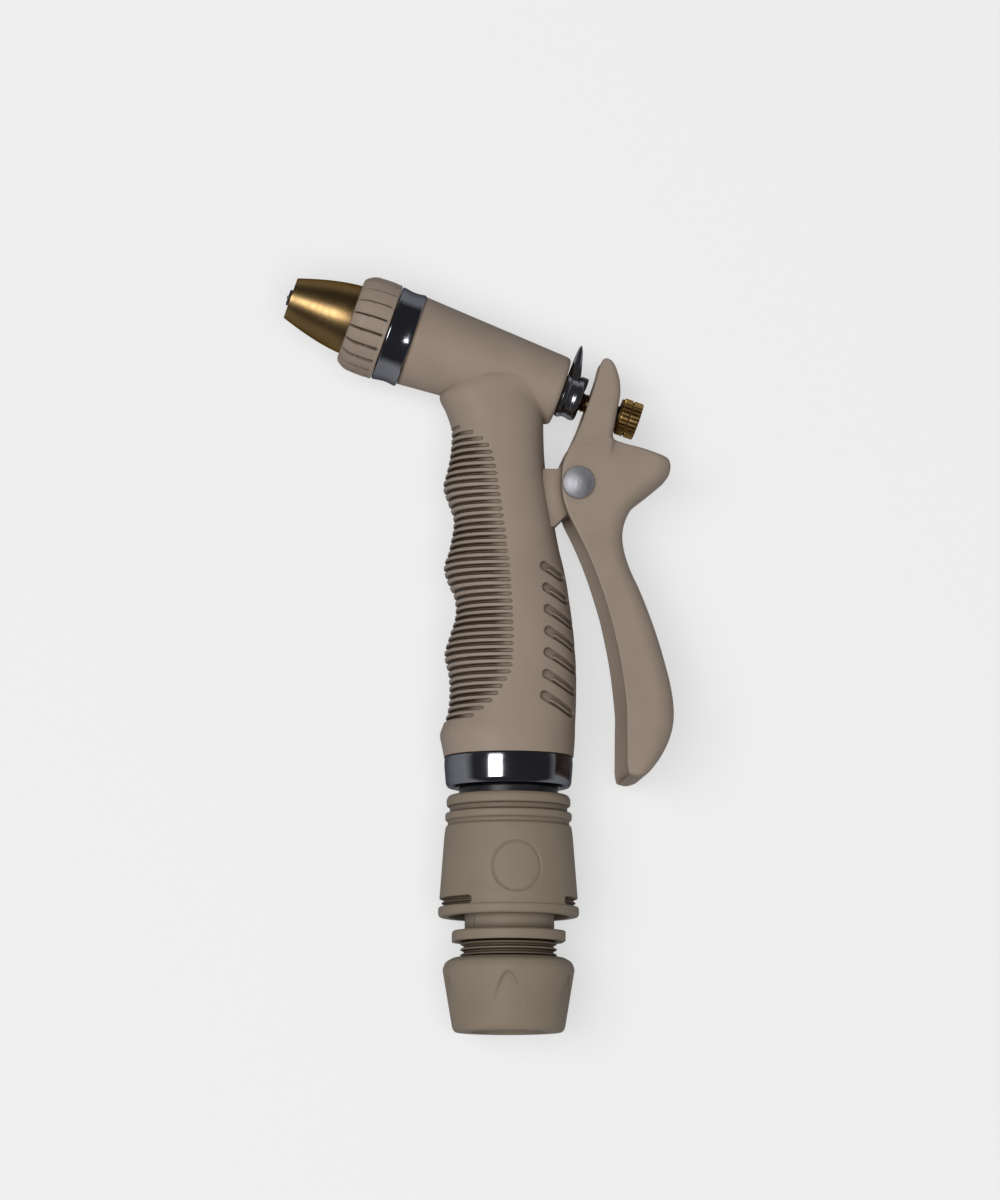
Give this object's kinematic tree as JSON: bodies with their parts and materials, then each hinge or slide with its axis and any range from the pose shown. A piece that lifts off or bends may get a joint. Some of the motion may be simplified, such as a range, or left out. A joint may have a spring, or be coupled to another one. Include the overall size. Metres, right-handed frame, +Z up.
{
  "type": "hose spray nozzle",
  "caption": "Trigger spray nozzle with an adjustable brass cone, a flow nut and a sliding quick connector with a hose clamp nut.",
  "frame": {"origin": "centre of the hose mouth, on the end face of the clamp nut", "axes": "The nozzle lies on its side. +Y runs along the hose axis from the hose mouth towards the barrel, -X is the side the barrel points to, +X is the trigger side, +Z is up from the surface it lies on."},
  "size_m": [0.1003, 0.1957, 0.0362],
  "materials": {
    "beige_paint": "satin beige enamel",
    "beige_plastic": "moulded matte plastic",
    "chrome": "bright chrome plate",
    "brass": "turned brass",
    "black_plastic": "black moulded plastic",
    "rubber": "black rubber",
    "steel": "stainless steel",
    "white_plastic": "white acetal"
  },
  "bodies": {
    "body": {"body_casting": "beige_paint", "front_trim_ring": "chrome", "nozzle_tube": "brass", "stem_packing": "rubber", "packing_washer": "brass", "gland_nut": "chrome", "pivot_rivet": "steel", "lower_trim_ring": "chrome", "inlet_adaptor": "black_plastic", "inlet_washer": "rubber", "adaptor_o_ring": "rubber", "connector_body": "beige_plastic", "claw_ring": "steel", "connector_seal": "rubber", "spring_retainer": "steel", "valve_spring": "steel", "sleeve_spring": "steel"},
    "trigger": {"trigger_lever": "beige_paint"},
    "stem": {"valve_stem": "brass", "valve_seal": "rubber"},
    "nut_carrier": {"nut_washer": "brass"},
    "flow_nut": {"flow_nut": "brass"},
    "lock_ring": {"lock_ring": "chrome"},
    "head_carrier": {"cone_o_ring": "rubber"},
    "spray_head": {"spray_cone": "brass", "grip_collar": "beige_plastic", "orifice_insert": "black_plastic"},
    "sleeve": {"connector_sleeve": "beige_plastic"},
    "clamp_carrier": {"hose_collet": "white_plastic"},
    "clamp_nut": {"clamp_nut": "beige_plastic"}
  },
  "joints": [
    {"name": "trigger_squeeze", "type": "hinge", "parent": "body", "child": "trigger", "pos_m": [0.0174, 0.1411, 0], "axis": [0, 0, -1], "range_deg": [0, 8], "stiffness_Nm_per_rad": 1.5, "springref_deg": -20.05},
    {"name": "stem_pull", "type": "slide", "parent": "body", "child": "stem", "axis": [0.9455, -0.3256, 0], "range_m": [0, 0.0026], "deforming": ["valve_spring"]},
    {"name": "nut_back_off", "type": "slide", "parent": "stem", "child": "nut_carrier", "axis": [0.9455, -0.3256, 0], "range_m": [0, 0.0025]},
    {"name": "nut_turn", "type": "hinge", "parent": "nut_carrier", "child": "flow_nut", "pos_m": [0.0317, 0.1593, 0], "axis": [0.9455, -0.3256, 0], "range_deg": [0, 1125]},
    {"name": "lock_ring_turn", "type": "hinge", "parent": "body", "child": "lock_ring", "pos_m": [0.0134, 0.1656, 0], "axis": [-0.9455, 0.3256, 0], "range_deg": [0, 90]},
    {"name": "head_unscrew", "type": "slide", "parent": "body", "child": "head_carrier", "axis": [-0.9455, 0.3256, 0], "range_m": [0, 0.002]},
    {"name": "head_turn", "type": "hinge", "parent": "head_carrier", "child": "spray_head", "pos_m": [-0.0411, 0.1844, 0], "axis": [-0.9455, 0.3256, 0], "range_deg": [0, 360]},
    {"name": "sleeve_pull", "type": "slide", "parent": "body", "child": "sleeve", "axis": [0, -1, 0], "range_m": [0, 0.0034], "stiffness_N_per_m": 1500, "springref_m": -0.004, "deforming": ["sleeve_spring"]},
    {"name": "clamp_back_off", "type": "slide", "parent": "body", "child": "clamp_carrier", "axis": [0, -1, 0], "range_m": [0, 0.003]},
    {"name": "clamp_turn", "type": "hinge", "parent": "clamp_carrier", "child": "clamp_nut", "pos_m": [0, 0.01, 0], "axis": [0, -1, 0], "range_deg": [0, 720]}
  ],
  "couplings": [
    {"joint": "stem_pull", "follows": "trigger_squeeze", "m_per_rad": 0.01805},
    {"joint": "nut_turn", "follows": "nut_back_off", "rad_per_m": 7853.9},
    {"joint": "head_turn", "follows": "head_unscrew", "rad_per_m": 3141.5},
    {"joint": "clamp_turn", "follows": "clamp_back_off", "rad_per_m": 4188.7}
  ]
}
